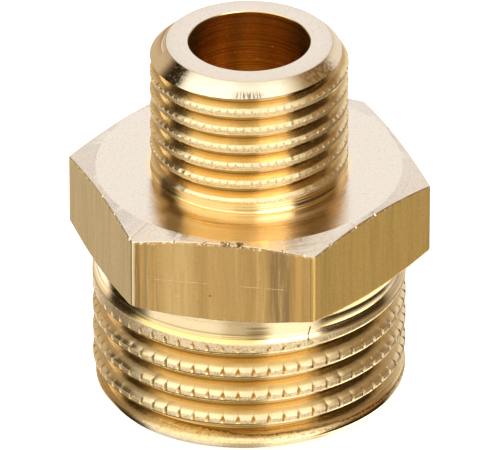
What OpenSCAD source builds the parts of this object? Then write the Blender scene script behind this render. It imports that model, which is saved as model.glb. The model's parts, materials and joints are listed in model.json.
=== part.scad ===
// Reducing nipple in brass: a hexagon for the spanner between two outside pipe threads of
// different size, bored right through in two steps. It is turned from one hexagonal bar.
// The origin is at the middle of the large end's rim, with the common axis along +Z.

/* [Large thread] */
// Diameter over the crests of the large thread
large_crest_d = 20.8; // [19.8:0.1:21]
// Distance from one crest of the large thread to the next
large_pitch = 1.814; // [1.7:0.002:1.9]
// Depth of the large thread's groove
large_groove_depth = 1.12; // [0.9:0.01:1.2]
// Width of the flat on top of the large thread's ridge
large_crest_w = 0.46; // [0.35:0.01:0.6]
// Height of the large end, from its rim to the hexagon
large_end_h = 10.25; // [9.75:0.25:13]
// Height of the bevel round the large end's rim
large_bevel_h = 0.95; // [0.6:0.05:1.2]
// Width of the bevel round the large end's rim
large_bevel_w = 0.66; // [0.4:0.02:0.9]
// Turn of the large thread about the axis, which sets where its groove runs out
large_thread_turn = -72; // [-180:1:180]

/* [Small thread] */
// Diameter over the crests of the small thread
small_crest_d = 13.06; // [12.6:0.02:13.3]
// Distance from one crest of the small thread to the next
small_pitch = 1.337; // [1.25:0.001:1.4]
// Depth of the small thread's groove
small_groove_depth = 0.83; // [0.65:0.01:0.88]
// Width of the flat on top of the small thread's ridge
small_crest_w = 0.36; // [0.28:0.01:0.45]
// Height of the small end, from the hexagon to its rim
small_end_h = 9.3; // [9:0.1:12]
// Height of the bevel round the small end's rim
small_bevel_h = 1; // [0.6:0.05:1.2]
// Width of the bevel round the small end's rim
small_bevel_w = 1.06; // [0.6:0.02:1.2]
// Turn of the small thread about the axis, which sets where its groove runs out
small_thread_turn = -132; // [-180:1:180]

/* [Plain stretches beside the hexagon] */
// Diameter of the plain neck between the small thread and the hexagon
neck_d = 12.92; // [11.6:0.02:12.96]
// Height of the plain neck
neck_h = 0.65; // [0.5:0.05:1.5]
// Width of the slanting fillet where the neck meets the hexagon
neck_fillet = 0.15; // [0.1:0.01:0.3]
// Diameter of the plain collar between the hexagon and the large thread
collar_d = 20.4; // [19.4:0.1:20.6]
// Height of the plain collar, with the flare that joins it to the hexagon
collar_h = 1.6; // [1:0.05:2.2]
// Height of the flare at the top of the collar
flare_h = 0.6; // [0.2:0.05:0.9]
// Width by which the flare grows towards the hexagon
flare_w = 0.2; // [0.05:0.01:0.25]

/* [Hexagon] */
// Distance between opposite flats of the hexagon
hex_across_flats = 21; // [20.8:0.1:24]
// Height of the hexagon
hex_h = 5.95; // [4:0.05:9]
// Turn of the hexagon about the axis
hex_turn = -9.4; // [-30:0.1:30]
// Diameter of the flat ring on top of the hexagon, where its bevel starts
hex_top_ring_d = 20.2; // [18:0.1:20.8]
// Slope of the bevel over the hexagon's upper corners
hex_top_bevel_angle = 15; // [5:0.5:30]
// Slope of the bevel under the hexagon's lower corners
hex_under_bevel_angle = 17; // [5:0.5:30]

/* [Bore] */
// Diameter of the bore in the small end
small_bore_d = 8; // [6:0.1:8.8]
// Diameter of the bore in the large end
large_bore_d = 15; // [12:0.1:16.4]
// Depth of the large bore's straight wall
large_bore_depth = 11; // [8:0.1:12]
// Angle of the drill's point, left as a cone between the two bores
drill_point_angle = 118; // [90:1:140]

/* [Serrations] */
// Number of notches round the large thread's ridge
large_notches = 64; // [48:1:80]
// Number of notches round the small thread's ridge
small_notches = 76; // [40:1:90]
// Depth of the notches across the large thread's ridge
large_notch_depth = 0.27; // [0.15:0.01:0.4]
// Depth of the notches across the small thread's ridge
small_notch_depth = 0.15; // [0.1:0.01:0.3]
// Angle between the two sides of a notch
notch_angle = 62; // [50:1:80]
// Turn of the notches about the axis
notch_turn = 1.6; // [0:0.1:6]

/* [Hidden] */

// Angle between a thread's flank and the plane across its axis, half of the pipe thread's 55 degrees
flank_angle = 27.5;
// Steps of a groove round one turn, and turns over which it fades out beside the collar
groove_steps = 36;
fade_turns = 0.4;
// Amount by which cutters stand clear of what they cut
clear = 0.3;
round_fn = 96;

hex_z = large_end_h;
small_z = hex_z + hex_h;
total_h = small_z + small_end_h;
small_rim_d = small_crest_d - 2 * small_bevel_w;
large_rim_d = large_crest_d - 2 * large_bevel_w;
corner_r = hex_across_flats / sqrt(3);
drill_cone_h = (large_bore_d - small_bore_d) / 2 / tan(drill_point_angle / 2);

// Half the width of a groove at a height above its root
function groove_half_width(pitch, crest_w, depth, above_root) =
    (pitch - crest_w) / 2 - (depth - above_root) * tan(flank_angle);

// The four corners of a groove's section, as distance from the axis and height
function groove_section(crest_r, pitch, crest_w, depth) = [
    [crest_r + clear, groove_half_width(pitch, crest_w, depth, depth + clear)],
    [crest_r - depth, groove_half_width(pitch, crest_w, depth, 0)],
    [crest_r - depth, -groove_half_width(pitch, crest_w, depth, 0)],
    [crest_r + clear, -groove_half_width(pitch, crest_w, depth, depth + clear)]
];

// A right-hand helical groove. It starts at full depth at start_z, below or above what it cuts,
// and climbs (way = 1) or falls (way = -1) for a number of turns. It fades out over its last turns.
module helical_groove(crest_r, pitch, crest_w, depth, start_z, turns, way) {
    section = groove_section(crest_r, pitch, crest_w, depth);
    steps = round(turns * groove_steps);
    fade_steps = fade_turns * groove_steps;
    points = [
        for (i = [0:steps])
            let (a = way * 360 * i / groove_steps,
                 lift = (depth + clear / 2) * max(0, 1 - (steps - i) / fade_steps),
                 z = start_z + pitch * a / 360)
            for (p = section) [(p[0] + lift) * cos(a), (p[0] + lift) * sin(a), p[1] + z]
    ];
    last = 4 * steps;
    sides = [
        for (i = [0:steps - 1])
            for (k = [0:3])
                let (b = 4 * i + k, c = 4 * i + (k + 1) % 4)
                for (t = [[b, c, c + 4], [b, c + 4, b + 4]]) t
    ];
    ends = [[2, 1, 0], [3, 2, 0], [last, last + 1, last + 2], [last, last + 2, last + 3]];
    all_faces = concat(sides, ends);
    polyhedron(points, way > 0 ? all_faces : [for (f = all_faces) [f[2], f[1], f[0]]]);
}

// Straight V notches along the axis, spaced evenly round a ridge
module notches(crest_r, depth, count, z0, z1) {
    reach = depth + clear;
    half = reach * tan(notch_angle / 2);
    translate([0, 0, z0])
        linear_extrude(z1 - z0)
            for (i = [0:count - 1])
                rotate(notch_turn + 360 * i / count)
                    polygon([[crest_r - depth, 0], [crest_r + clear, -half], [crest_r + clear, half]]);
}

// The turned outline below the hexagon, with its bevelled rim and its collar, and a core inside the hexagon
module large_blank() {
    r = large_crest_d / 2;
    collar_z = hex_z - collar_h;
    rotate_extrude($fn = round_fn)
        polygon([
            [0, 0],
            [large_rim_d / 2, 0],
            [r, large_bevel_h],
            [r, collar_z - (r - collar_d / 2)],
            [collar_d / 2, collar_z],
            [collar_d / 2, hex_z - flare_h],
            [collar_d / 2 + flare_w, hex_z],
            [collar_d / 2 + flare_w, hex_z + hex_h / 2],
            [0, hex_z + hex_h / 2]
        ]);
}

// The turned outline above the hexagon, with its neck and its bevelled rim, on a core inside the hexagon
module small_blank() {
    r = small_crest_d / 2;
    neck_top = small_z + neck_h;
    // The fillet's slant goes on into the hexagon
    fillet_foot = neck_d / 2 + neck_fillet + clear;
    rotate_extrude($fn = round_fn)
        polygon([
            [0, small_z - hex_h / 2],
            [fillet_foot, small_z - hex_h / 2],
            [fillet_foot, small_z - clear],
            [neck_d / 2, small_z + neck_fillet],
            [neck_d / 2, neck_top],
            [r, neck_top + (r - neck_d / 2)],
            [r, total_h - small_bevel_h],
            [small_rim_d / 2, total_h],
            [0, total_h]
        ]);
}

// The hexagon between two very flat cones that take its corners off
module hexagon() {
    top_r = hex_top_ring_d / 2;
    under_r = collar_d / 2 + flare_w;
    reach = corner_r + 1;
    top_drop = (reach - top_r) * tan(hex_top_bevel_angle);
    under_rise = (reach - under_r) * tan(hex_under_bevel_angle);
    intersection() {
        translate([0, 0, hex_z])
            rotate(hex_turn)
                cylinder(h = hex_h, r = corner_r, $fn = 6);
        rotate_extrude($fn = round_fn)
            polygon([
                [0, hex_z],
                [under_r, hex_z],
                [reach, hex_z + under_rise],
                [reach, small_z - top_drop],
                [top_r, small_z],
                [0, small_z]
            ]);
    }
}

// The two bores and the drill's cone between them
module bores() {
    translate([0, 0, -1])
        cylinder(h = total_h + 2, d = small_bore_d, $fn = round_fn);
    rotate_extrude($fn = round_fn)
        polygon([
            [0, -1],
            [large_bore_d / 2, -1],
            [large_bore_d / 2, large_bore_depth],
            [small_bore_d / 2, large_bore_depth + drill_cone_h],
            [0, large_bore_depth + drill_cone_h]
        ]);
}

module large_thread_cuts() {
    r = large_crest_d / 2;
    start_z = -large_pitch;
    end_z = hex_z - collar_h - large_crest_w / 2;
    turns = (end_z - start_z) / large_pitch;
    rotate(large_thread_turn)
        helical_groove(r, large_pitch, large_crest_w, large_groove_depth, start_z, turns, 1);
    notches(r, large_notch_depth, large_notches, -1, hex_z - collar_h);
}

module small_thread_cuts() {
    r = small_crest_d / 2;
    start_z = total_h + small_pitch;
    turns = (start_z - small_z - neck_h) / small_pitch;
    rotate(small_thread_turn)
        helical_groove(r, small_pitch, small_crest_w, small_groove_depth, start_z, turns, -1);
    notches(r, small_notch_depth, small_notches, small_z + neck_h, total_h + 1);
}

module nipple_body() {
    color([0.80, 0.62, 0.33])
        difference() {
            union() {
                large_blank();
                hexagon();
                small_blank();
            }
            bores();
            large_thread_cuts();
            small_thread_cuts();
        }
}

nipple_body();
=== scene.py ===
# %% [markdown]
# # A brass reducing nipple
# The real thing is one piece of hexagonal brass bar, turned at both ends. A coarse pipe thread is cut on
# the large end and a finer one on the small end, and a bore goes right through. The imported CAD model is
# the frame. This scene makes the same piece again with every mark that the tools left, and with the brass
# itself. Everything is in metres, +Z runs along the axis, and the large end's rim stands on z = 0.

# %% The frame
import bpy
import bmesh
import json
import math
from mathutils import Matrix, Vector, noise

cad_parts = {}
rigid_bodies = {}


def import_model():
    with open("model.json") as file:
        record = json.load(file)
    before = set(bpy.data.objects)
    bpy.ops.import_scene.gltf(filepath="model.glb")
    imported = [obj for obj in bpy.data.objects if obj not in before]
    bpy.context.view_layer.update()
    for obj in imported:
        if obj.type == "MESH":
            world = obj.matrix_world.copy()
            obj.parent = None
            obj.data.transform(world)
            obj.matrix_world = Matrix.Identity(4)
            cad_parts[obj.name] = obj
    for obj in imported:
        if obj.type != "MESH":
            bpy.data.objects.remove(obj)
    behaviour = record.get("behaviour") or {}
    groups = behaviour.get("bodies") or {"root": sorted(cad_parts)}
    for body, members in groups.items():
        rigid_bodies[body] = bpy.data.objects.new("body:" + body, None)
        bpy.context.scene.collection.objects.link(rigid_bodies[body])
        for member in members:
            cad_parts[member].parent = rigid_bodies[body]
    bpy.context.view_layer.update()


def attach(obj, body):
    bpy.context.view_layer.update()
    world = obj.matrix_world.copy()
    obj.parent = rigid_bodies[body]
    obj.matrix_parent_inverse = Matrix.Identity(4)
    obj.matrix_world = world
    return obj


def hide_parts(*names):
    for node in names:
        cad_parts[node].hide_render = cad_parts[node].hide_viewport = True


for thing in list(bpy.data.objects):
    bpy.data.objects.remove(thing)
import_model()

# %% [markdown]
# ## Sizes
# The sizes are the ones that the CAD model has, but for the small thread's land, which is 0.02 mm narrower
# here. They are written in millimetres and turned into metres by one factor. Heights are counted from the
# large end's rim, and each radius is half of a turned diameter. Angles are in degrees.

# %% Sizes of the real piece
MM = 0.001
HEX_Z, HEX_TOP, TOTAL = 10.25, 16.2, 25.5
# notched gives the heights between which a ridge has its notches. A groove's middle is at the height
# groove_z where the angle round the axis is turn.
LARGE = dict(crest=10.4, pitch=1.814, depth=1.12, land=0.46, bevel_h=0.95, bevel_w=0.66,
             notches=64, notch_depth=0.27, notched=(1.75, 8.2), turn=-72)
SMALL = dict(crest=6.53, pitch=1.337, depth=0.83, land=0.34, bevel_h=1.0, bevel_w=1.06,
             notches=76, notch_depth=0.15, notched=(17.35, 24.1), turn=-132)
LARGE["groove_z"] = -LARGE["pitch"]
SMALL["groove_z"] = TOTAL + SMALL["pitch"]
FLANK, HALF_NOTCH, NOTCH_TURN = 27.5, 31, 1.6
COLLAR_R, COLLAR_H, FLARE_H, FLARE_W = 10.2, 1.6, 0.6, 0.2
NECK_R, NECK_H, NECK_FILLET = 6.46, 0.65, 0.15
HEX_HALF, HEX_TURN, TOP_RING_R = 10.5, -9.4, 10.1
TOP_SLOPE, UNDER_SLOPE = 15, 17
SMALL_BORE_R, LARGE_BORE_R, LARGE_BORE_DEPTH, DRILL_ANGLE = 4.0, 7.5, 11.0, 118
print("overall height", TOTAL, "mm, across the flats", 2 * HEX_HALF, "mm")

# %% [markdown]
# ## Sums on sockets
# Node trees are sums and choices on sockets. Written node by node they are long and hard to read, so one
# small class wraps a socket and lets Python's own signs add the Math nodes. One method makes every other
# node. The same two serve Geometry Nodes and shaders.

# %% A wire that can be reckoned with
def sign(operation):
    """The two methods behind a sign such as +: with the wire before it, and with the wire after it."""

    def before(wire, other):
        return wire.math(operation, wire, other)

    def after(wire, other):
        return wire.math(operation, other, wire)

    return before, after


def alone(operation):
    """The method for a sum that takes nothing but the wire."""

    def method(wire):
        return wire.math(operation, wire)

    return method


class Wire:
    """An output socket. A sum with it adds a Math node to its tree."""

    def __init__(self, tree, socket):
        self.tree, self.socket = tree, socket

    def math(self, operation, *values):
        return self.tree.node("ShaderNodeMath", {"operation": operation}, *values)

    __add__, __radd__ = sign("ADD")
    __sub__, __rsub__ = sign("SUBTRACT")
    __mul__, __rmul__ = sign("MULTIPLY")
    __truediv__, __rtruediv__ = sign("DIVIDE")
    __pow__, __rpow__ = sign("POWER")
    __mod__, __rmod__ = sign("FLOORED_MODULO")
    __gt__, __lt__ = sign("GREATER_THAN")
    floor = alone("FLOOR")
    nearest = alone("ROUND")
    size = alone("ABSOLUTE")
    sin = alone("SINE")
    cos = alone("COSINE")

    def __neg__(self):
        return self * -1

    def lowest(self, other):
        return self.math("MINIMUM", self, other)

    def highest(self, other):
        return self.math("MAXIMUM", self, other)

    def ramp(self, low, high, to_low=0.0, to_high=1.0, way="SMOOTHSTEP"):
        """How far the value is from low to high, clamped, as a number from to_low to to_high."""
        settings = {"interpolation_type": way}
        return self.tree.node("ShaderNodeMapRange", settings, self, low, high, to_low, to_high)

    def band(self, low, high, soft):
        """1 between low and high and 0 outside, with soft edges."""
        return self.ramp(low - soft, low + soft) * self.ramp(high - soft, high + soft, 1.0, 0.0)


# %% A tree that makes its nodes by one method
class Tree:
    """A node tree. node() takes a type, its settings and the values or wires of its inputs."""

    def __init__(self, tree):
        self.tree = tree

    def node(self, kind, settings=None, *values, **named):
        made = self.tree.nodes.new(kind)
        for key, value in (settings or {}).items():
            if key == "stops":
                ramp = made.color_ramp
                while len(ramp.elements) < len(value):
                    ramp.elements.new(0.5)
                for element, (place, colour) in zip(ramp.elements, value):
                    element.position = place
                    element.color = (*colour, 1)
            elif key == "items":
                for _ in range(value - 2):
                    made.index_switch_items.new()
            else:
                setattr(made, key, value)
        inputs = [s for s in made.inputs if s.enabled and s.identifier != "__extend__"]
        for socket, value in zip(inputs, values):
            self.put(socket, value)
        for key, value in named.items():
            self.put(next(s for s in inputs if s.name == key.replace("_", " ")), value)
        outs = [s for s in made.outputs if s.enabled]
        return Wire(self, outs[0]) if outs else made

    def put(self, socket, value):
        if isinstance(value, Wire):
            self.tree.links.new(value.socket, socket)
        elif value is not None:
            socket.default_value = value

    def other(self, wire, name):
        """Another output of the node that a wire comes from."""
        return Wire(self, wire.socket.node.outputs[name])

    def pick(self, index, *choices):
        """The choice that a whole number points to."""
        settings = {"data_type": "FLOAT", "items": len(choices)}
        return self.node("GeometryNodeIndexSwitch", settings, index, *choices)

    def vector(self, x, y, z):
        return self.node("ShaderNodeCombineXYZ", None, x, y, z)


print("sockets can be added, multiplied and compared")

# %% [markdown]
# ## The threads
# A pipe thread is one ridge wound round the bar: a flat land on top, flanks that lean 27.5 degrees, and a
# root. On this piece notches were rolled across the ridge, so that sealing hemp holds. On the large thread
# each one cuts the ridge's upper edge, narrows up the flank like a triangle and fades out over the land.
# On the small thread little teeth stand up from the upper edge instead. All of it follows a rule, so
# Geometry Nodes make it: a flat grid has one row of points for each edge of the ridge and is wound up like
# a ribbon, one turn resting on the last. Rows and columns lie on the ridge's own edges and on the notches,
# so few faces give crisp edges. Both ends use the same tree.

# %% The tree's sizes and the ridge's section
# Lengths are in millimetres and angles in radians, and a place along the groove is in turns. Cut share is
# the part of the notch depth that is cut, Unevenness is how much of it may be missing, Burr is the lip
# beside a notch, Tooth is how far the upper edge stands up at a notch, and Wobble is how far edges wander.
THREAD_INPUTS = (
    ("Crest radius", 10.4), ("Pitch", 1.8), ("Groove depth", 1.1), ("Land", 0.46), ("Turns", 6.0),
    ("Start height", 0.0), ("Start turn", 0.0), ("Fade from", 5.0), ("Fade to", 5.4),
    ("Notches", 66.0), ("Notch depth", 0.3), ("Cut share", 1.0), ("Notch turn", 0.0),
    ("Notched from", 0.0), ("Notched to", 9.0), ("Unevenness", 0.35), ("Burr", 0.015), ("Tooth", 0.0),
    ("Wobble", 0.02), ("Seed", 1.0))
# strips of faces from root to root, and columns of points for each notch
ROWS, COLUMNS = 14, 4
# the rows from the ridge's middle to the root: depth as a part of the groove's, and place along the flank
# as a part of its width, counted from the land's edge. The upper edge is round, and the lower one is a
# narrow bevel that ends sharply. The last row lies in the groove's middle.
UPPER_SIDE = ((0.0, 0.0), (0.0, -0.20), (0.03, -0.12), (0.12, 0.08), (0.28, 0.31), (0.60, 0.61),
              (0.93, 0.84), (1.0, 0.0))
LOWER_SIDE = ((0.0, 0.0), (0.0, -0.12), (0.03, 0.02), (0.085, 0.20), (0.34, 0.34), (0.62, 0.61),
              (0.92, 0.88), (1.0, 0.0))
WELD = 0.004 * MM
print("the ridge's section has", ROWS + 1, "points, and each notch", COLUMNS, "columns")


# %% The parts of the tree
def section_rows(t, size, from_middle, upper_half):
    """Two wires: how deep a row lies below the crest, and how far it is from the ridge's middle."""
    flank = size["Groove depth"] * math.tan(math.radians(FLANK))
    drops, aboves = [], []
    for rows in (LOWER_SIDE, UPPER_SIDE):
        places = [size["Land"] / 2 + flank * out for deep, out in rows[1:-1]]
        drops.append(t.pick(from_middle, *[deep for deep, out in rows]))
        aboves.append(t.pick(from_middle, 0.0, *places, size["Pitch"] / 2))
    return [low + upper_half * (high - low) for low, high in (drops, aboves)]


def drawn_in(t, size, ribbon):
    """The ribbon with each open end drawn in to a point on the axis, so that it is closed."""
    # an edge of the rim has one face, and every other edge has two
    rim = t.node("GeometryNodeInputMeshEdgeNeighbors") < 1.5
    drawn = t.node("GeometryNodeExtrudeMesh", {"mode": "EDGES"}, ribbon, rim, Offset_Scale=0.0)
    middle = (size["Start height"] + size["Pitch"] * (size["Turns"] + 1) / 2) * MM
    here = t.node("ShaderNodeSeparateXYZ", None, t.node("GeometryNodeInputPosition"))
    upper = t.other(here, "Z") > middle
    end = (size["Start height"] - size["Pitch"] + upper * (size["Pitch"] * (size["Turns"] + 3))) * MM
    closed = t.node("GeometryNodeSetPosition", None, drawn, t.other(drawn, "Top"), t.vector(0.0, 0.0, end))
    return t.node("GeometryNodeMergeByDistance", None, closed, Distance=WELD)


# %% The tree that winds a thread
def thread_tree():
    """Geometry Nodes that wind one closed, notched thread from named sizes in millimetres."""
    group = bpy.data.node_groups.new("thread", "GeometryNodeTree")
    for name, value in THREAD_INPUTS:
        group.interface.new_socket(name, in_out="INPUT", socket_type="NodeSocketFloat").default_value = value
    group.interface.new_socket("Material", in_out="INPUT", socket_type="NodeSocketMaterial")
    group.interface.new_socket("Geometry", in_out="OUTPUT", socket_type="NodeSocketGeometry")
    t = Tree(group)
    given = group.nodes.new("NodeGroupInput")
    size = {s.name: Wire(t, s) for s in given.outputs if s.name}
    crest, pitch, depth = size["Crest radius"], size["Pitch"], size["Groove depth"]
    across = (size["Turns"] * size["Notches"] * COLUMNS).nearest()
    grid = t.node("GeometryNodeMeshGrid", None, across, ROWS, across + 1, ROWS + 1)
    parts = t.node("ShaderNodeSeparateXYZ", None, t.node("GeometryNodeInputPosition"))
    column = (parts + across / 2).nearest()
    level = (t.other(parts, "Y") + ROWS / 2).nearest() - ROWS / 2
    from_middle = level.size()
    upper_half = level > 0.0
    drop, above = section_rows(t, size, from_middle, upper_half)

    # the notches: columns stand on each notch's bottom and edges and on the land between, and a notch
    # gets narrower down the flank
    notch = (column / COLUMNS + 0.01).floor()
    step = column - notch * COLUMNS
    half = size["Notch depth"] * math.tan(math.radians(HALF_NOTCH))
    spacing = crest * (2 * math.pi) / size["Notches"]
    narrow = (1 - drop * depth / (size["Notch depth"] * 0.75)).highest(0.15)
    edge = half / spacing * narrow
    inside = t.pick(step, 0.0, edge, 0.5, 1 - edge)
    angle = (notch + inside) / size["Notches"] * (2 * math.pi) + size["Notch turn"]
    turn = (angle - size["Start turn"]) / (2 * math.pi)
    fade = (turn + upper_half).ramp(size["Fade from"], size["Fade to"], 1.0, 0.0, "LINEAR")
    height = size["Start height"] + pitch * (turn + 0.5) + above * (upper_half * 2 - 1)

    # how deep each notch is cut, by its own luck, and what stands up beside it
    own = notch + (step > 2.5)
    luck = t.node("FunctionNodeRandomValue", {"data_type": "FLOAT"}, 0.0, 1.0, own, size["Seed"])
    tapered = level.ramp(-1.0, 0.1, 0.0, 1.0, "LINEAR")
    notched = height.band(size["Notched from"], size["Notched to"], 0.15) * tapered
    notched = notched * (1 - size["Unevenness"] * luck)
    at_bottom = t.pick(step, 1.0, 0.0, 0.0, 0.0)
    at_edges = t.pick(step, 0.0, 1.0, 0.0, 1.0)
    cut = at_bottom * size["Notch depth"] * size["Cut share"] * notched
    burr = at_edges * size["Burr"] * (from_middle < 2.5) * notched * luck
    tooth = at_bottom * size["Tooth"] * notched * level.band(0.5, 2.5, 0.1)

    along = t.vector(angle.cos() * 14, angle.sin() * 14, height * 3)
    wobble = (t.node("ShaderNodeTexNoise", None, Vector=along, Scale=1.0, Detail=3.0) - 0.5) * size["Wobble"]
    radius = (crest - drop * depth * fade).lowest(crest - cut) + burr
    height = height + wobble * from_middle.band(0.5, 3.5, 0.1) + tooth
    wound = t.vector(radius * angle.cos() * MM, radius * angle.sin() * MM, height * MM)
    ribbon = t.node("GeometryNodeSetPosition", None, grid, Position=wound)
    ribbon = t.node("GeometryNodeMergeByDistance", None, ribbon, Distance=WELD)
    closed = t.node("GeometryNodeRealizeInstances", None, drawn_in(t, size, ribbon))
    closed = t.node("GeometryNodeSetMaterial", None, closed, Material=size["Material"])
    out = group.nodes.new("NodeGroupOutput")
    group.links.new(closed.socket, out.inputs["Geometry"])
    return group


winder = thread_tree()
print("the thread tree has", len(winder.nodes), "nodes")

# %% [markdown]
# ## Winding the two threads
# A modifier carries the tree on an empty mesh. Its inputs are set by the sockets' identifiers before
# anything looks at the object, and the result is copied to a plain mesh. The ribbon is longer than the
# real thread at both ends, because the turned blank cuts it off where the real one stops.

# %% Two closed threads
def plain_copy(maker, name):
    """The evaluated object as a plain mesh of its own. The maker is deleted."""
    seen = maker.evaluated_get(bpy.context.evaluated_depsgraph_get())
    mesh = bpy.data.meshes.new_from_object(seen)
    old = maker.data
    bpy.data.objects.remove(maker)
    bpy.data.meshes.remove(old)
    mesh.name = name
    made = bpy.data.objects.new(name, mesh)
    bpy.context.scene.collection.objects.link(made)
    return made


def facing_out(piece):
    """Merge what touches, turn every face outwards and say whether the mesh is closed."""
    b = bmesh.new()
    b.from_mesh(piece.data)
    bmesh.ops.remove_doubles(b, verts=b.verts, dist=1e-7)
    bmesh.ops.recalc_face_normals(b, faces=b.faces)
    open_edges = sum(1 for e in b.edges if len(e.link_faces) != 2)
    volume = b.calc_volume(signed=True)
    if volume < 0:
        bmesh.ops.reverse_faces(b, faces=b.faces)
    b.to_mesh(piece.data)
    b.free()
    print(piece.name, len(piece.data.polygons), "faces,", open_edges, "open edges,",
          round(abs(volume) * 1e9, 1), "mm3")
    return piece


def wound_thread(name, tree, **sizes):
    """A closed thread from the winding tree, with its sizes given by name."""
    maker = bpy.data.objects.new(name + "_maker", bpy.data.meshes.new(name + "_maker"))
    bpy.context.scene.collection.objects.link(maker)
    modifier = maker.modifiers.new("thread", "NODES")
    modifier.node_group = tree
    sockets = {s.name: s.identifier for s in tree.interface.items_tree if s.in_out == "INPUT"}
    for key, value in sizes.items():
        modifier[sockets[key.replace("_", " ").capitalize()]] = value
    return facing_out(plain_copy(maker, name))


def thread_sizes(end, low, high, fade_from, fade_to, seed, **more):
    """The tree's inputs for one end. The ribbon runs from low to high, where its groove's middle starts at
    low and the groove fades out from fade_from to fade_to."""
    return dict(crest_radius=end["crest"], pitch=end["pitch"], groove_depth=end["depth"], land=end["land"],
                turns=(high - low) / end["pitch"], start_height=low, start_turn=math.radians(end["turn"]),
                fade_from=(fade_from - low) / end["pitch"], fade_to=(fade_to - low) / end["pitch"],
                notches=float(end["notches"]), notch_depth=end["notch_depth"],
                notch_turn=math.radians(NOTCH_TURN), notched_from=end["notched"][0],
                notched_to=end["notched"][1], seed=float(seed), **more)


FADE_TURNS = 0.4
large_low, large_high = -2 * LARGE["pitch"], 11.2
large_run_out = HEX_Z - COLLAR_H - LARGE["land"] / 2
large_thread = wound_thread("large_thread", winder, **thread_sizes(
    LARGE, large_low, large_high, large_run_out - FADE_TURNS * LARGE["pitch"], large_run_out,
    3, cut_share=0.8))
small_run_out = HEX_TOP + NECK_H
small_turns_down = math.ceil((TOTAL + SMALL["pitch"] - small_run_out) / SMALL["pitch"]) + 2
small_low, small_high = TOTAL + SMALL["pitch"] * (1 - small_turns_down), TOTAL + 2 * SMALL["pitch"]
small_thread = wound_thread("small_thread", winder, **thread_sizes(
    SMALL, small_low, small_high, small_run_out + FADE_TURNS * SMALL["pitch"], small_run_out,
    5, unevenness=0.9, burr=0.0, cut_share=0.05, tooth=0.20, wobble=0.10))

# %% [markdown]
# ## The turned blanks
# A lathe gives everything else on the axis its shape: the rims, the bevels, the collar, the neck and the
# bore. One function turns an outline of radius and height into a closed mesh. Where the outline touches
# the axis it ends in a single point, so that the solid is closed there too. The blank stands a little
# proud of the thread's crests, because the thread itself is the surface there.

# %% A lathe
def turned(name, outline, sides=396, reach=None):
    """A closed solid from an outline of (radius, height) in millimetres, from axis to axis, going up.

    sides is how many points go round, or a list of their angles. reach(angle) gives the outline at one
    angle instead, so that a side may be flat."""
    points, faces, levels = [], [], []
    angles = sides if isinstance(sides, list) else [360 * i / sides for i in range(sides)]
    columns = [reach(a) for a in angles] if reach else [outline] * len(angles)
    for k in range(len(columns[0])):
        if columns[0][k][0] == 0:
            levels.append([len(points)] * len(angles))
            points.append((0, 0, columns[0][k][1] * MM))
        else:
            levels.append(list(range(len(points), len(points) + len(angles))))
            for a, column in zip(angles, columns):
                turn = math.radians(a)
                r, z = column[k]
                points.append((r * math.cos(turn) * MM, r * math.sin(turn) * MM, z * MM))
    for low, high in zip(levels, levels[1:]):
        for i in range(len(angles)):
            j = (i + 1) % len(angles)
            faces.append(list(dict.fromkeys((low[i], low[j], high[j], high[i]))))
    mesh = bpy.data.meshes.new(name)
    mesh.from_pydata(points, [], faces)
    piece = bpy.data.objects.new(name, mesh)
    bpy.context.scene.collection.objects.link(piece)
    return facing_out(piece)


def rings(radius, base, marks):
    """Points on a straight wall with fine rings, as a turning tool leaves, each with its height above the
    base, half width and depth."""
    return [(radius - (deep if k == 0 else 0), base + z + k * half)
            for z, half, deep in marks for k in (-1, 0, 1)]


# %% The two blanks
PROUD = 0.3
COLLAR_RINGS = ((0.09, 0.05, 0.030), (0.21, 0.04, 0.022), (0.36, 0.05, 0.030))
NECK_RINGS = ((0.27, 0.05, 0.020), (0.47, 0.04, 0.014))
large_rim_r = LARGE["crest"] - LARGE["bevel_w"]
small_rim_r = SMALL["crest"] - SMALL["bevel_w"]
collar_z = HEX_Z - COLLAR_H
flare_z, flare_r = HEX_Z - FLARE_H, COLLAR_R + FLARE_W - 0.07
large_blank = turned("large_blank", [
    (0, 0), (large_rim_r - 0.05, 0), (large_rim_r, 0.03),
    (LARGE["crest"] + PROUD, LARGE["bevel_h"] * (1 + PROUD / LARGE["bevel_w"])),
    (LARGE["crest"] + PROUD, collar_z - (LARGE["crest"] - COLLAR_R) - PROUD),
    (COLLAR_R + 0.04, collar_z - 0.04), (COLLAR_R + 0.02, collar_z + 0.01),
    *rings(COLLAR_R, collar_z, COLLAR_RINGS),
    (COLLAR_R, flare_z), (COLLAR_R + 0.03, flare_z + 0.18), (COLLAR_R + 0.09, flare_z + 0.4),
    (flare_r, HEX_Z), (flare_r, HEX_Z + 0.5), (9.0, HEX_Z + 2.0), (0, HEX_Z + 2.0)])
neck_top = HEX_TOP + NECK_H
fillet_r = NECK_R + NECK_FILLET
small_blank = turned("small_blank", [
    (0, HEX_TOP - 3.0), (6.0, HEX_TOP - 3.0), (fillet_r, HEX_TOP - 0.3), (fillet_r, HEX_TOP),
    (NECK_R + 0.52 * NECK_FILLET, HEX_TOP + 0.2 * NECK_FILLET),
    (NECK_R + 0.2 * NECK_FILLET, HEX_TOP + 0.52 * NECK_FILLET), (NECK_R, HEX_TOP + NECK_FILLET),
    *rings(NECK_R, HEX_TOP, NECK_RINGS),
    (NECK_R, neck_top), (SMALL["crest"] + PROUD, neck_top + SMALL["crest"] + PROUD - NECK_R),
    (SMALL["crest"] + PROUD, TOTAL - SMALL["bevel_h"] * (1 + PROUD / SMALL["bevel_w"])),
    (small_rim_r + 0.02, TOTAL - 0.02), (small_rim_r - 0.03, TOTAL), (0, TOTAL)])

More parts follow.
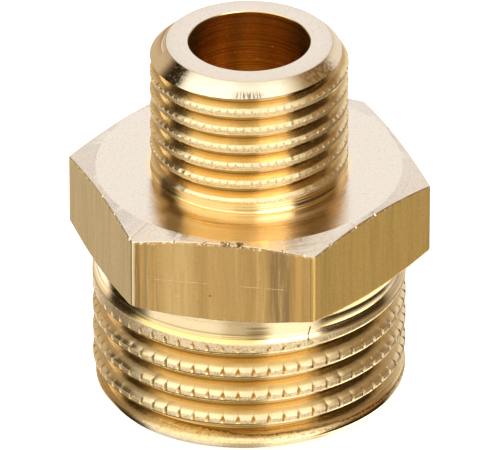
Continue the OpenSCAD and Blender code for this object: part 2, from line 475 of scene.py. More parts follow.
# %% [markdown]
# ## The hexagon
# The bar's six flats were left as drawn. The lathe took off the corners above and below with very flat
# cones, so each flat's upper and lower edge is a curve, low at the corners. The same lathe function makes
# it, with a different outline at each angle: the distance to the flat decides where the cones end. The
# cutter left its marks along the upper edge too, nicks and burrs, which are written here by angle.

# %% The hexagon with its worn edges
UNDER_R = COLLAR_R + FLARE_W - 0.1
CORNER_ROUND = {0: 0.3, 1: 0.3, 2: 0.3, 3: 0.35, 4: 0.6, 5: 0.25}
NICKS = ((262.2, 0.7, 0.10), (259.8, 0.35, 0.05), (263.9, 0.45, 0.12), (266.5, 0.5, 0.05), (243.0, 0.6, 0.05),
         (254.0, 0.3, 0.07), (281.4, 0.4, 0.05), (287.8, 0.5, 0.08), (298.2, 0.4, 0.06), (311.0, 0.5, 0.05),
         (322.0, 0.3, 0.06), (203.0, 0.4, 0.05), (215.5, 0.5, 0.04), (228.9, 0.5, 0.08), (66.0, 0.5, 0.05),
         (99.0, 0.4, 0.07), (131.0, 0.5, 0.05), (28.0, 0.4, 0.06))


def hex_reach(angle):
    """Distance from the axis to the hexagon's side at an angle in degrees, with its corners rounded."""
    corner = round((angle - HEX_TURN) / 60)
    from_corner = math.radians(angle - HEX_TURN - 60 * corner)
    flat = HEX_HALF / math.cos(math.radians(30) - abs(from_corner))
    r = CORNER_ROUND[corner % 6]
    centre = (HEX_HALF - r) / math.cos(math.radians(30))
    across = centre * math.sin(from_corner)
    if abs(across) >= r * math.sin(math.radians(30)):
        return flat
    return min(flat, centre * math.cos(from_corner) + math.sqrt(r * r - across * across))


def wear(angle, seed):
    """A small uneven number for an angle, the same at 0 and 360, for edges that a tool left ragged."""
    a = math.radians(angle)
    total = 0
    for k, (rate, part) in enumerate(((6, 0.5), (17, 0.3), (43, 0.2))):
        total += part * noise.noise(Vector((rate * math.cos(a), rate * math.sin(a), seed + 7.3 * k)))
    return total


def hex_column(angle):
    """The hexagon's outline at one angle, from the axis below to the axis above."""
    reach = hex_reach(angle)
    nick = sum(deep * max(0, 1 - abs((angle - at + 180) % 360 - 180) / wide) for at, wide, deep in NICKS)
    ragged = 0.09 * wear(angle, 1.0)
    burr = 0.035 * max(0, wear(angle, 5.0)) - nick
    lean = math.tan(math.radians(TOP_SLOPE))
    under_lean = math.tan(math.radians(UNDER_SLOPE))
    top = HEX_TOP - (reach - TOP_RING_R) * lean + 0.4 * ragged - 0.7 * nick
    low = HEX_Z + (reach - UNDER_R) * under_lean + 0.045 * wear(angle, 9.0)
    return [(0, HEX_Z + 0.02), (UNDER_R, HEX_Z + 0.02), (reach - 0.10, low - 0.02),
            (reach - 0.03, low + 0.02), (reach, low + 0.10), (reach, low + 0.5), (reach, top - 0.5),
            (reach + 0.3 * burr, top - 0.10), (reach - 0.025 + burr, top - 0.03),
            (reach - 0.09 + burr, top + 0.09 * lean), (reach - 0.2, top + 0.2 * lean + 0.5 * nick),
            (TOP_RING_R + 0.03, HEX_TOP - 0.008), (TOP_RING_R - 0.05, HEX_TOP), (5.5, HEX_TOP),
            (0, HEX_TOP - 0.5)]


# extra columns of points stand close together at each corner, which is round
NEAR_CORNER = (-2.2, -1.7, -1.3, -1.0, -0.75, -0.5, -0.25, 0, 0.25, 0.5, 0.75, 1.0, 1.3, 1.7, 2.2)
hex_angles = sorted({round(a * 0.5, 3) for a in range(720)} | {
    round((HEX_TURN + 60 * k + step) % 360, 3) for k in range(6) for step in NEAR_CORNER})
hexagon = turned("hexagon", None, hex_angles, hex_column)

# %% [markdown]
# ## One solid
# On the real piece nothing is joined: it is all one bar. So the meshes are cut and joined into one closed
# mesh by Boolean modifiers. The Manifold solver is quick and exact on closed meshes, and every mesh here
# is closed. The thread is kept where it lies inside its blank, the hexagon is added, and the bore, with
# the drill's cone between its two widths, is taken out last.

# %% Cut, join and bore
def combined(piece, other, operation):
    """piece, cut by or joined with other, which is used up."""
    modifier = piece.modifiers.new(operation, "BOOLEAN")
    modifier.operation, modifier.solver, modifier.object = operation, "MANIFOLD", other
    made = plain_copy(piece, piece.name)
    old = other.data
    bpy.data.objects.remove(other)
    bpy.data.meshes.remove(old)
    return made


cone_h = (LARGE_BORE_R - SMALL_BORE_R) / math.tan(math.radians(DRILL_ANGLE / 2))
# each mouth has a slight chamfer, and outside it the cutter goes on 1 mm past the piece
bores = turned("bores", [
    (0, -1), (LARGE_BORE_R + 0.06 + 1, -1), (LARGE_BORE_R + 0.06, 0), (LARGE_BORE_R, 0.06),
    (LARGE_BORE_R, LARGE_BORE_DEPTH), (SMALL_BORE_R, LARGE_BORE_DEPTH + cone_h),
    (SMALL_BORE_R, TOTAL - 0.07), (SMALL_BORE_R + 0.05, TOTAL), (SMALL_BORE_R + 1.05, TOTAL + 1),
    (0, TOTAL + 1)], 240)
nipple = combined(large_thread, large_blank, "INTERSECT")
small_end = combined(small_thread, small_blank, "INTERSECT")
nipple = combined(nipple, hexagon, "UNION")
nipple = combined(nipple, small_end, "UNION")
nipple = combined(nipple, bores, "DIFFERENCE")
nipple.name = nipple.data.name = "brass_nipple"
facing_out(nipple)

# %% Smooth faces and real edges
HEXAGON_BEND, OTHER_BEND = 9, 33


def crease(mesh):
    """Shade the mesh smooth but for its real edges: slight ones round the hexagon, steeper ones elsewhere."""
    mesh.shade_smooth()
    b = bmesh.new()
    b.from_mesh(mesh)
    sharp = 0
    for edge in b.edges:
        middle = (edge.verts[0].co + edge.verts[1].co) / 2 / MM
        beside_hexagon = HEX_Z - 0.2 < middle.z < HEX_TOP + 0.02
        on_hexagon = beside_hexagon and math.hypot(middle.x, middle.y) > NECK_R + 0.05
        bend = math.degrees(edge.calc_face_angle(0.0))
        edge.smooth = bend < (HEXAGON_BEND if on_hexagon else OTHER_BEND)
        sharp += not edge.smooth
    b.to_mesh(mesh)
    b.free()
    print(sharp, "sharp edges")


crease(nipple.data)
nipple.data.calc_loop_triangles()
print("one solid of", len(nipple.data.loop_triangles), "triangles")

# %% [markdown]
# ## Brass
# Bare brass is a metal, so its colour is the colour of its reflections. The tools left it in four states:
# pale satin where a flat tool faced it, bright in the thread and on the neck, brown and streaked on the
# drawn flats, and dark in the bore. One material reads the place on the piece, the distance from the axis
# and the hexagon's own distance, and changes colour, roughness and relief from one state to the next.

# %% Where on the piece a point lies
def brass_places(t):
    """Wires for a point's place in millimetres and for the zone that it lies in, each from 0 to 1."""
    here = t.other(t.node("ShaderNodeTexCoord"), "Object")
    parts = t.node("ShaderNodeSeparateXYZ", None, here)
    x, y, z = parts * 1000, t.other(parts, "Y") * 1000, t.other(parts, "Z") * 1000
    radius = (x * x + y * y) ** 0.5
    angle = t.node("ShaderNodeMath", {"operation": "ARCTAN2"}, y, x)
    reach = None
    for k in range(3):
        a = math.radians(HEX_TURN + 30 + 60 * k)
        across = (x * math.cos(a) + y * math.sin(a)).size()
        reach = across if reach is None else reach.highest(across)
    flats = reach.ramp(HEX_HALF - 0.06, HEX_HALF - 0.025)
    faced_top = radius.ramp(NECK_R + 0.2, NECK_R + 0.5) * z.ramp(HEX_TOP - 0.9, HEX_TOP - 0.7) * (1 - flats)
    faced_rim = z.ramp(TOTAL - 0.05, TOTAL - 0.02)
    under = radius.ramp(COLLAR_R + 0.15, COLLAR_R + 0.3) * z.band(HEX_Z - 0.25, HEX_Z + 0.95, 0.05)
    # the wider bore and the drill's cone end below 13.6 mm
    bore = radius.ramp(SMALL_BORE_R + 0.12, SMALL_BORE_R + 0.04)
    bore = bore.highest(radius.ramp(LARGE_BORE_R + 0.12, LARGE_BORE_R + 0.04) * z.ramp(14.0, 13.6))
    p = dict(here=here, x=x, y=y, z=z, radius=radius, angle=angle, flats=flats, faced_top=faced_top,
             faced_rim=faced_rim, under=under * (1 - flats), bore=bore * (1 - faced_rim),
             low_end=z.ramp(1.60, 1.40))
    beside_small = z.ramp(HEX_TOP + NECK_H, HEX_TOP + NECK_H + 0.1)
    beside_large = z.ramp(HEX_Z - COLLAR_H, HEX_Z - COLLAR_H - 0.1)
    small = thread_places(t, p, SMALL, beside_small, z - (TOTAL - SMALL["bevel_h"]))
    large = thread_places(t, p, LARGE, beside_large, LARGE["bevel_h"] - z)
    return {**p, **{name: small[name].highest(large[name]) for name in small}}


# %% Where on a thread a point lies
def thread_places(t, p, end, here, past):
    """Masks for one thread: its lands, roots, flanks, notches and its bevel. here is 1 beside the thread, and
    past is how far the point lies beyond the bevel's start."""
    outside = here * (1 - p["bore"]) * (1 - p["faced_rim"])
    below = end["crest"] - p["radius"]
    from_bevel = (below - past * (end["bevel_w"] / end["bevel_h"])).size()
    on_bevel = from_bevel.ramp(0.03, 0.07, 1.0, 0.0) * (past > 0.0)
    thread = outside * (1 - on_bevel)
    # the place across the ridge, 0 in the groove's middle and 0.5 on the land
    turned_by = (p["angle"] - math.radians(end["turn"])) / (2 * math.pi)
    across = ((p["z"] - end["groove_z"]) / end["pitch"] - turned_by) % 1.0
    from_middle = (across - 0.5) * end["pitch"]
    above = from_middle - end["land"] / 2
    deep = below / end["depth"]
    # the notches narrow up the flank, as the mesh has them
    notches = p["angle"] * (end["notches"] / (2 * math.pi)) - end["notches"] * NOTCH_TURN / 360
    off = ((notches + 0.5) % 1.0 - 0.5).size() * (2 * math.pi * end["crest"] / end["notches"])
    half = end["notch_depth"] * math.tan(math.radians(HALF_NOTCH))
    wide = half * above.ramp(0.0, end["notch_depth"] * 0.5, 1.0, 0.2, "LINEAR")
    notch = (off / wide).ramp(0.45, 1.1, 1.0, 0.0) * below.band(0.04, end["notch_depth"] * 1.3, 0.03)
    notch = notch * across.ramp(0.40, 0.46) * p["z"].band(*end["notched"], 0.15)
    # the land's colour leaves out the smooth bevel below it and the worn ridge at the large rim
    low_edge = -LOWER_SIDE[1][1] * end["depth"] * math.tan(math.radians(FLANK)) - end["land"] / 2
    land = below.ramp(0.02, 0.05, 1.0, 0.0) * from_middle.ramp(low_edge - 0.04, low_edge + 0.01)
    # the masks root and pale carry painted shade deep in the groove and a painted sheen near the crest, line
    # a dark line of painted shade at the root, and notch painted shade in the notches
    return dict(land=thread * land * p["z"].ramp(1.5, 1.75), root=thread * deep.ramp(0.35, 1.0),
                pale=thread * deep.ramp(0.15, 0.70, 1.0, 0.0), line=thread * deep.ramp(0.88, 0.95),
                upper_shoulder=thread * deep.band(0.22, 0.50, 0.08), notch=thread * notch,
                flank=thread * below.ramp(0.03, 0.12), bevel=outside * on_bevel)


# %% Noises that break the marks up
def stretched(t, p, squeeze, scale, detail, roughness):
    """Noise read at the point in millimetres, drawn out along the axis where squeeze is under 1."""
    factors = (1000, 1000, 1000 * squeeze)
    at = t.node("ShaderNodeVectorMath", {"operation": "MULTIPLY"}, p["here"], factors)
    return t.node("ShaderNodeTexNoise", None, Vector=at, Scale=scale, Detail=detail, Roughness=roughness)


def flat_noise(t, u, v, detail, roughness):
    """Noise on two wires, for marks that a tool drew round the axis."""
    return t.node("ShaderNodeTexNoise", {"noise_dimensions": "2D"}, Vector=t.vector(u, v, 0.0), Scale=1.0,
                  Detail=detail, Roughness=roughness)


def noises(t, p):
    """All the noises that more than one mark uses, by name."""
    r, z, angle = p["radius"], p["z"], p["angle"]
    return dict(fine=stretched(t, p, 1, 9.0, 2.0, 0.6), grain=stretched(t, p, 1, 4.5, 3.0, 0.6),
                broad=stretched(t, p, 1, 0.35, 2.0, 0.5), streaks=stretched(t, p, 0.05, 3.2, 5.0, 0.7),
                wide_streaks=stretched(t, p, 0.05, 0.6, 4.0, 0.7),
                round_r=flat_noise(t, r * 9, angle * 0.35, 3.0, 0.7),
                rings_r=flat_noise(t, r * 22, angle * 0.5, 2.0, 0.6),
                round_z=flat_noise(t, z * 9, angle * 0.35, 3.0, 0.7))


def blend(t, mask, plain, other, way="MIX"):
    """plain where the mask is 0 and other where it is 1. Both are colours."""
    wide = [c if isinstance(c, Wire) else (*c, 1.0) for c in (plain, other)]
    return t.node("ShaderNodeMix", {"data_type": "RGBA", "blend_type": way}, mask, *wide)


# %% [markdown]
# ## Colours and wear
# Each state of the brass has its own colour, and so has each kind of mark. The marks that the photograph
# shows are painted where they are on the real piece: the worn and chipped edge of the large rim, a gouge
# and a darker band in the collar, streaks and bands down the flats, and the pit and scratches on the front
# one. Light and shade are painted too: painted shade deep in the grooves, in the notches and in a dark line
# at the root, a painted sheen on the thread's shoulders, painted dark reflections on the small bevel,
# painted highlights in the bore, painted shade and highlights along the flats' edges, and a paler tone of
# painted light on the two flats beside the front one. A mask says where a mark lies, a noise breaks it up,
# and the mark's colour is blended over what lies under it.

# %% The threads
# painted light in the thread: the shoulders' pale colour is a painted sheen, and the root colours, the dark
# root line and the notches' browns are painted shade
BRIGHT, SHOULDER_SHEEN = (0.93, 0.73, 0.42), (0.98, 0.81, 0.46)
LAND, LAND_SPECK = (0.92, 0.73, 0.45), (0.48, 0.29, 0.11)
NOTCH_SHADE, SIDE_NOTCH_SHADE = (0.62, 0.36, 0.11), (0.17, 0.09, 0.03)
ROOT_SHADE, ROOT_SHADE_LINE = (0.76, 0.55, 0.26), (0.27, 0.165, 0.06)


def thread_colours(t, p, colour):
    """Painted shade deep in the grooves, a painted sheen on the shoulders, speckled lands, painted shade in
    the notches, darker at the sides, and a dark line of painted shade at the root.
    """
    small = p["z"].ramp(16.0, 17.0)
    # the notches' painted shade is darker towards the sides
    shaded_side = p["x"].size().ramp(3.5, 6.0)
    colour = blend(t, p["root"] * 0.85, colour, ROOT_SHADE)
    colour = blend(t, p["pale"] * (0.35 + small * 0.2), colour, SHOULDER_SHEEN)
    colour = blend(t, p["land"], colour, LAND)
    colour = blend(t, p["land"] * p["fine"].ramp(0.48, 0.62) * 0.6, colour, LAND_SPECK)
    colour = blend(t, p["notch"] * (0.7 - small * 0.5), colour, blend(t, shaded_side, NOTCH_SHADE, SIDE_NOTCH_SHADE))
    return blend(t, p["line"] * 0.95, colour, ROOT_SHADE_LINE)


# %% The worn end of the large thread
WORN, WORN_SPECK, WORN_RING = (0.90, 0.64, 0.30), (0.58, 0.37, 0.13), (0.42, 0.24, 0.07)
CHIP, TEAR = (1.0, 0.86, 0.52), (0.18, 0.10, 0.03)


def rim_colours(t, p, colour):
    """The large rim's bevel with brown specks and rings, its chipped edge and the torn lines above it."""
    r, z, grain, low_end = p["radius"], p["z"], p["grain"], p["low_end"]
    colour = blend(t, low_end * 0.7, colour, WORN)
    colour = blend(t, low_end * grain.ramp(0.50, 0.66) * 0.5, colour, WORN_SPECK)
    colour = blend(t, low_end * p["round_z"].ramp(0.48, 0.60) * 0.5, colour, WORN_RING)
    edge = z + (p["broad"] - 0.5) * 0.25 + (grain - 0.5) * 0.20
    chipped = edge.band(1.12, 1.26, 0.03) * grain.ramp(0.44, 0.52)
    colour = blend(t, chipped * r.ramp(9.5, 9.7) * 0.8, colour, CHIP)
    torn = edge.band(1.33, 1.40, 0.03) + (z + (p["broad"] - 0.5) * 0.4).band(1.54, 1.57, 0.02) * 0.6
    return blend(t, torn * r.ramp(9.4, 9.6) * grain.ramp(0.36, 0.44) * 0.85, colour, TEAR)


# %% The small bevel and the collar
# the dark colours on the small bevel are painted dark reflections
BEVEL, BEVEL_FRONT_REFLECTION = (0.97, 0.84, 0.62), (0.20, 0.13, 0.045)
BEVEL_LEFT_REFLECTION, BEVEL_RIGHT_REFLECTION, COLLAR_DARK_BAND = (0.10, 0.075, 0.03), (0.28, 0.18, 0.08), (0.34, 0.21, 0.07)
GOUGE = (0.10, 0.06, 0.02)


def bevel_colours(t, p, colour):
    """The polished bevel with painted dark reflections on it, broken into strokes, and the darker band and
    the gouge in the collar. facing is the angle to the right of the side that faces the camera."""
    r, z, grain = p["radius"], p["z"], p["grain"]
    facing = p["angle"] + math.pi / 2
    small_bevel = p["bevel"] * z.ramp(20.0, 21.0)
    colour = blend(t, small_bevel, colour, BEVEL)
    collar = z.band(8.75, 9.75, 0.12) * r.band(10.0, 10.32, 0.02) * (1 - p["flats"])
    # a darker band down the collar, just to the right of the front
    collar_band = collar * facing.band(-0.01, 0.13, 0.05) * p["round_z"].ramp(0.30, 0.55)
    colour = blend(t, collar_band * 0.75, colour, COLLAR_DARK_BAND)
    gouge = (facing * COLLAR_R - (z - 8.85) * 0.25 - 4.0).size().ramp(0.035, 0.080, 1.0, 0.0)
    gouge = gouge * z.band(8.40, 9.35, 0.06)
    colour = blend(t, gouge * (1 - p["flats"]) * 0.9, colour, GOUGE)
    strokes = flat_noise(t, p["angle"] * 75, z * 1.6, 2.0, 0.6)
    # painted dark reflections on the bevel: in front, at the left and at the right
    front_reflection = p["bevel"] * z.band(24.66, 25.00, 0.14) * facing.band(-0.16, 0.14, 0.07)
    colour = blend(t, front_reflection * strokes.ramp(0.38, 0.60) * 0.85, colour, BEVEL_FRONT_REFLECTION)
    left_reflection = small_bevel * facing.band(-1.04, -0.80, 0.05)
    colour = blend(t, left_reflection * grain.ramp(0.36, 0.52) * 0.92, colour, BEVEL_LEFT_REFLECTION)
    right_reflection = small_bevel * facing.band(0.66, 1.20, 0.10)
    return blend(t, right_reflection * grain.ramp(0.42, 0.60) * 0.6, colour, BEVEL_RIGHT_REFLECTION)


# %% The bore
BORED, BORE_RING, BORE_GLINT = (0.80, 0.53, 0.19), (0.48, 0.27, 0.08), (1.0, 0.86, 0.60)


def bore_colours(t, p, colour):
    """The bore's deep brass with dark rings, as the drill left them, and broken bright rings of painted
    highlight.
    """
    bore, round_z = p["bore"], p["round_z"]
    colour = blend(t, bore, colour, BORED)
    colour = blend(t, bore * round_z.ramp(0.50, 0.62) * 0.75, colour, BORE_RING)
    # the broken bright rings are painted highlights
    glint = round_z.ramp(0.42, 0.34) * p["grain"].ramp(0.45, 0.60)
    return blend(t, bore * glint * 0.9, colour, BORE_GLINT)


# %% The flats and their edges
DRAWN, LEFT_FLAT_LIT, RIGHT_FLAT_LIT = (0.59, 0.38, 0.138), (0.86, 0.67, 0.36), (0.97, 0.67, 0.22)
# a noise, from where to where it counts, then the strength and the colour
STREAKS = (("streaks", 0.46, 0.70, 0.55, (0.42, 0.27, 0.11)),
           ("streaks", 0.50, 0.30, 0.35, (0.92, 0.68, 0.35)),
           ("wide_streaks", 0.46, 0.66, 0.34, (0.44, 0.28, 0.11)),
           ("wide_streaks", 0.50, 0.34, 0.34, (0.86, 0.62, 0.31)))
FLAT_SPECK, EDGE_SHADE = (0.42, 0.27, 0.12), (0.20, 0.12, 0.05)
EDGE_GLINT, LOW_GLINT = (1.0, 0.90, 0.66), (0.95, 0.74, 0.42)


def on_flat(p, side):
    """1 on the flat that lies side degrees to the right of the front one."""
    a = math.radians(HEX_TURN) + math.radians(side)
    return p["flats"] * ((p["x"] * math.sin(a) - p["y"] * math.cos(a)) > HEX_HALF - 0.2)


def flat_colours(t, p, colour):
    """The drawn flats: brown with streaks along the bar, and with a paler tone of painted light on the two
    beside the front one.
    """
    flats = p["flats"]
    colour = blend(t, flats, colour, DRAWN)
    marked = flats
    # the two flats beside the front one get a paler tone, which is painted light
    for side, tone in ((-60, LEFT_FLAT_LIT), (60, RIGHT_FLAT_LIT)):
        on_side = on_flat(p, side)
        colour = blend(t, on_side, colour, tone)
        marked = marked * (1 - on_side * 0.55)
    for noise_name, low, high, strength, tone in STREAKS:
        colour = blend(t, marked * p[noise_name].ramp(low, high) * strength, colour, tone)
    return blend(t, flats * p["fine"].ramp(0.48, 0.66) * 0.24, colour, FLAT_SPECK)


def edge_colours(t, p, along, colour):
    """The flats' ragged upper edges, dark and bright by turns, two dents in front, and the lower edges."""
    r, y, z, flats, fine, grain = (p[name] for name in ("radius", "y", "z", "flats", "fine", "grain"))
    from_top = HEX_TOP - (r - TOP_RING_R) * math.tan(math.radians(TOP_SLOPE)) - z
    ragged = from_top + (grain - 0.5) * 0.5 + (fine - 0.5) * 0.2
    shade = ragged.ramp(0.10, 0.05, 0.0, 1.0) * grain.ramp(0.46, 0.54)
    colour = blend(t, flats * shade * 0.8, colour, EDGE_SHADE)
    glint = ragged.ramp(0.14, 0.07, 0.0, 1.0) * grain.ramp(0.46, 0.40)
    colour = blend(t, flats * glint * 0.8, colour, EDGE_GLINT)
    dent = from_top.size().ramp(0.20, 0.12, 0.0, 1.0) * (y < 0.0) * (r > 10.2)
    dent = dent * along.band(-0.15, 0.45, 0.08).highest(along.band(0.85, 1.30, 0.08))
    colour = blend(t, dent * grain.ramp(0.38, 0.48) * 0.9, colour, GOUGE)
    from_low = z - HEX_Z - (r - UNDER_R) * math.tan(math.radians(UNDER_SLOPE)) + (grain - 0.5) * 0.4
    low_glint = from_low.ramp(0.14, 0.07, 0.0, 1.0) * fine.ramp(0.42, 0.55)
    return blend(t, flats * low_glint * 0.6, colour, LOW_GLINT)


# %% The front flat
# marks down the front flat: from, to and softness in mm along it, then the colour and its strength
FRONT_BANDS = ((-5.86, -5.48, 0.05, (0.22, 0.12, 0.04), 0.55), (-5.18, -5.02, 0.03, (0.34, 0.26, 0.17), 0.4),
               (-4.45, -4.32, 0.04, (0.42, 0.30, 0.16), 0.3), (-4.0, -2.0, 0.50, (0.80, 0.57, 0.27), 0.7),
               (-1.2, 0.9, 0.50, (0.66, 0.44, 0.18), 0.4), (3.1, 4.45, 0.20, (0.28, 0.18, 0.085), 0.72),
               (4.5, 5.7, 0.20, (0.46, 0.28, 0.095), 0.5), (4.8, 5.2, 0.08, (0.80, 0.47, 0.16), 0.55),
               (5.75, 5.98, 0.04, (0.30, 0.17, 0.05), 0.5))
SCRATCH, PIT = (0.98, 0.80, 0.52), (0.16, 0.09, 0.03)
PIT_ALONG, PIT_Z = -0.84, 12.14


def front_colours(t, p, along, colour):
    """The front flat's own bands, two fine scratches across it and a small pit."""
    z, grain, front = p["z"], p["grain"], on_flat(p, 0)
    for low, high, soft, tone, strength in FRONT_BANDS:
        band = along.band(low, high, soft) * strength * p["streaks"].ramp(0.30, 0.55)
        colour = blend(t, front * band, colour, tone)
    bent = z + (p["wide_streaks"] - 0.5) * 0.10
    length = along.band(-4.5, -1.0, 0.2).highest(along.band(1.1, 4.2, 0.3))
    scratch = bent.band(13.03, 13.08, 0.02) * length * grain.ramp(0.44, 0.54)
    scratch = scratch.highest(bent.band(11.90, 11.95, 0.02) * along.band(-3.2, -2.9, 0.05))
    colour = blend(t, front * scratch * 0.55, colour, SCRATCH)
    off, above = along - PIT_ALONG, z - PIT_Z
    pit = (off * off + above * above) ** 0.5
    return blend(t, front * (pit + grain * 0.1).ramp(0.16, 0.08) * 0.8, colour, PIT)


# %% The brass of the whole piece
FACED, FACED_SPECK, FACED_CLOUD = (0.86, 0.72, 0.53), (0.55, 0.38, 0.22), (0.88, 0.70, 0.52)
SPECK = (0.45, 0.29, 0.13)


def brass_colour(t, p, faced):
    """The colour of every zone, from the ground colours to the marks and the specks over them."""
    lean = math.radians(HEX_TURN)
    along = p["x"] * math.cos(lean) + p["y"] * math.sin(lean)
    colour = blend(t, faced, BRIGHT, FACED)
    for paint in (thread_colours, rim_colours, bevel_colours, bore_colours, flat_colours):
        colour = paint(t, p, colour)
    for paint in (edge_colours, front_colours):
        colour = paint(t, p, along, colour)
    colour = blend(t, (1 - p["flank"]) * p["grain"].ramp(0.58, 0.78) * 0.22, colour, SPECK)
    colour = blend(t, faced * p["fine"].ramp(0.52, 0.70) * 0.30, colour, FACED_SPECK)
    return blend(t, faced * p["broad"].ramp(0.45, 0.75) * 0.35, colour, FACED_CLOUD)


def brass_roughness(p):
    """Bright turned faces, rough flats and lands, and a satin upper shoulder on the large thread."""
    rough = 0.14 + p["faced_rim"] * 0.16 - p["faced_top"] * 0.03 + p["flats"] * 0.46 + p["bore"] * 0.08
    rough = rough + p["flank"] * 0.03 + p["upper_shoulder"] * p["z"].ramp(16.0, 15.0) * 0.15
    return rough + p["land"] * 0.33 + p["notch"] * 0.15 + p["grain"].ramp(0.4, 0.8) * 0.06


def brass_relief(p, faced):
    """The fine rings of the turning tool, the flats' streaks and the grain of what is rough."""
    flats, land = p["flats"], p["land"]
    rings_round = p["round_r"] * faced + p["round_z"] * (1 - faced) * (1 - flats)
    relief = rings_round * 0.5 + p["rings_r"] * p["faced_top"] * 0.8 + flats * p["streaks"] * 0.8
    relief = relief + p["grain"] * (land + faced + flats) * 0.3
    return relief + p["fine"] * (land * 1.2 + faced * 0.3 + p["low_end"] * 0.8)


def brass_material():
    """Brass that is satin, bright, drawn or dark by where a point lies on the nipple."""
    material = bpy.data.materials.new("brass")
    material.use_nodes = True
    material.node_tree.nodes.clear()
    t = Tree(material.node_tree)
    p = brass_places(t)
    p.update(noises(t, p))
    faced = p["faced_top"].highest(p["faced_rim"]).highest(p["under"])
    bump = t.node("ShaderNodeBump", None, Strength=0.30, Distance=0.02 * MM, Height=brass_relief(p, faced))
    shader = t.node("ShaderNodeBsdfPrincipled", None, Base_Color=brass_colour(t, p, faced), Metallic=1.0,
                    Roughness=brass_roughness(p), Normal=bump)
    t.node("ShaderNodeOutputMaterial", None, shader)
    return material


brass = brass_material()
nipple.data.materials.clear()
nipple.data.materials.append(brass)
print("brass has", len(brass.node_tree.nodes), "nodes")
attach(nipple, "root")
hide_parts("nipple_body")

# %% [markdown]
# ## Camera
# The photograph was taken from far off, a little above the object. The camera's distance, height and
# focal length come from fitting circles of the known thread diameters to the photograph's outline.

# %% The photograph's viewpoint
DISTANCE, ELEVATION, AIM_Z = 664.9, 30.275, 11.54
up = math.radians(ELEVATION)
camera_data = bpy.data.cameras.new("camera")
camera_data.sensor_width = 36
camera_data.lens = 723.5
camera_data.shift_x = 0.83 / 500
camera_data.clip_start, camera_data.clip_end = 0.01, 10
camera = bpy.data.objects.new("camera", camera_data)
camera.location = (0, -DISTANCE * math.cos(up) * MM, (AIM_Z + DISTANCE * math.sin(up)) * MM)
camera.rotation_euler = (math.pi / 2 - up, 0, 0)
bpy.context.scene.collection.objects.link(camera)
bpy.context.scene.camera = camera
print("camera", [round(c, 4) for c in camera.location])

# %% [markdown]
# ## Studio
# Metal shows its surroundings, so the studio is most of its look. The photograph was taken in a white
# tent with dark cards on both sides: round walls show white, then a dark card, then white again. The
# world holds that tent. It is written by the direction that a wall must face to show a card to the
# camera, which is the half-way direction between the ray and the camera's place. Three lists of cards go
# round the tent: the first is what upright walls show, the second what the hexagon's flat top mirrors,
# and the third what bevels and flanks show. Faces that look down show pale cards low at the sides and a
# dark one between them, from the left to the middle. The ridges' shoulders show the tent dimmed, and
# what faces straight up shows its cool roof. The picture itself sees plain white.

# %% The cards round the tent
WHITE, WARM, DARK, ROSY = (1.0, 1.0, 1.0), (1.0, 0.93, 0.80), (1.0, 0.66, 0.34), (1.0, 0.94, 0.92)
AMBER, TAN = (1.0, 0.93, 0.58), (1.0, 0.80, 0.58)
# the direction in degrees to the right, then the strength and the tint there
WALLS = ((-90, 1.70, ROSY), (-67, 1.50, ROSY), (-63, 0.02, DARK), (-47, 0.02, DARK), (-42, 0.25, WARM),
         (-39, 1.10, WHITE), (-12, 1.10, WHITE), (-7, 0.68, WARM), (4, 0.60, WARM), (8, 1.35, WHITE),
         (24, 1.35, WHITE), (28, 0.10, DARK), (40, 0.03, DARK), (60, 0.04, DARK), (65, 0.54, ROSY),
         (90, 0.78, ROSY))
MIRROR = ((-90, 0.95, ROSY), (-67, 0.95, ROSY), (-63, 0.03, DARK), (-48, 0.03, DARK), (-43, 1.20, AMBER),
          (-36, 1.55, AMBER), (-8, 1.45, AMBER), (3, 1.15, AMBER), (8, 3.40, WHITE), (24, 3.40, WHITE),
          (28, 0.06, DARK), (60, 0.05, DARK), (66, 0.45, ROSY), (90, 0.75, ROSY))
SLOPES = ((-90, 0.62, TAN), (-68, 0.62, TAN), (-62, 0.10, DARK), (-50, 0.10, DARK), (-43, 1.10, WHITE),
          (-36, 1.42, WHITE), (-11, 1.42, WHITE), (-6, 1.15, WHITE), (5, 1.15, WHITE), (10, 1.30, WHITE),
          (20, 1.30, WHITE), (28, 0.9, WARM), (38, 0.35, DARK), (60, 0.30, DARK), (70, 0.85, ROSY),
          (90, 0.85, ROSY))
LOW_SIDE, LOW_FRONT = (1.5, 1.40, 1.15), (0.10, 0.07, 0.035)
DIMMED, ROOF = (0.66, 0.58, 0.46), (0.52, 0.55, 0.635)
print("cards:", len(WALLS), len(MIRROR), len(SLOPES))


# %% The tent
def place(degrees):
    """A direction's place on a ramp, where straight ahead is 0.5."""
    return 0.5 + degrees / 180


world = bpy.data.worlds.new("tent")
world.use_nodes = True
world.node_tree.nodes.clear()
bpy.context.scene.world = world
w = Tree(world.node_tree)
ray = w.node("ShaderNodeTexCoord")
half_way = w.node("ShaderNodeVectorMath", {"operation": "ADD"}, ray, (0.0, -math.cos(up), math.sin(up)))
half_way = w.node("ShaderNodeVectorMath", {"operation": "NORMALIZE"}, half_way)
parts = w.node("ShaderNodeSeparateXYZ", None, half_way)
upward = w.other(parts, "Z")
facing = w.node("ShaderNodeMath", {"operation": "ARCTAN2"}, parts, -w.other(parts, "Y")) / math.pi + 0.5
on_ramp = facing.ramp(0.0, 1.0, 0.0, 1.0, "LINEAR")
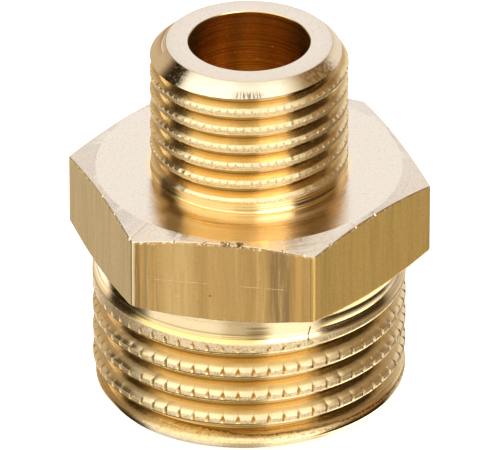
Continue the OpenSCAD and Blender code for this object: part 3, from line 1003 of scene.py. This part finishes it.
# the stops hold half of each strength, and the tent's background doubles it
walls, mirror, slopes = (w.node("ShaderNodeValToRGB", {
    "stops": [(place(a), tuple(s / 2 * c for c in tint)) for a, s, tint in cards]}, on_ramp)
    for cards in (WALLS, MIRROR, SLOPES))
seen = blend(w, upward.ramp(0.30, 0.42), walls, mirror)
seen = blend(w, upward.ramp(0.54, 0.68), seen, slopes)
low_sides = facing.band(place(30), place(78), 0.04) + facing.ramp(place(-64), place(-76)) * 0.6
seen = blend(w, upward.ramp(-0.14, -0.30) * low_sides, seen, LOW_SIDE)
seen = blend(w, upward.ramp(0.80, 0.89), seen, DIMMED, "MULTIPLY")
low_front = upward.band(-0.53, -0.27, 0.04) * facing.ramp(place(8), place(4))
seen = blend(w, low_front * (1 - low_sides), seen, LOW_FRONT)
seen = blend(w, upward.ramp(0.90, 0.985), seen, ROOF)
camera_ray = w.node("ShaderNodeLightPath")
sees_plain = camera_ray.highest(w.other(camera_ray, "Is Transmission Ray"))
tent = w.node("ShaderNodeBackground", None, seen, 2.0)
plain = w.node("ShaderNodeBackground", None, (1.0, 1.0, 1.0, 1.0), 1.0)
w.node("ShaderNodeOutputWorld", None, w.node("ShaderNodeMixShader", None, sees_plain, tent, plain))
print("the world has", len(world.node_tree.nodes), "nodes")

# %% [markdown]
# ## Floor and lamp
# The nipple stands on a pale floor that the picture shows as white. A soft lamp overhead gives the
# shadow where it stands.

# %% A pale floor and a soft lamp
floor_mesh = bpy.data.meshes.new("floor")
side = 0.5
corners = [(-side, -side, 0), (side, -side, 0), (side, side, 0), (-side, side, 0)]
floor_mesh.from_pydata(corners, [], [(0, 1, 2, 3)])
floor = bpy.data.objects.new("floor", floor_mesh)
floor.location.z = -0.02 * MM
bpy.context.scene.collection.objects.link(floor)
floor_paint = bpy.data.materials.new("floor_paint")
floor_paint.use_nodes = True
floor_paint.node_tree.nodes.clear()
f = Tree(floor_paint.node_tree)
lit = f.node("ShaderNodeBsdfDiffuse", None, (0.9, 0.9, 0.9, 1.0))
glow = f.node("ShaderNodeEmission", None, (1.0, 1.0, 1.0, 1.0), f.node("ShaderNodeLightPath") * 0.62)
f.node("ShaderNodeOutputMaterial", None, f.node("ShaderNodeAddShader", None, lit, glow))
floor_mesh.materials.append(floor_paint)
floor.visible_glossy = False

lamp_data = bpy.data.lights.new("lamp", "AREA")
lamp_data.shape, lamp_data.size, lamp_data.energy = "DISK", 0.25, 0.35
lamp = bpy.data.objects.new("lamp", lamp_data)
lamp.location = (0.0, 0.02, 0.35)
lamp.visible_glossy = False
bpy.context.scene.collection.objects.link(lamp)
bpy.context.scene.view_settings.view_transform = "Standard"
print("floor and lamp are in place")
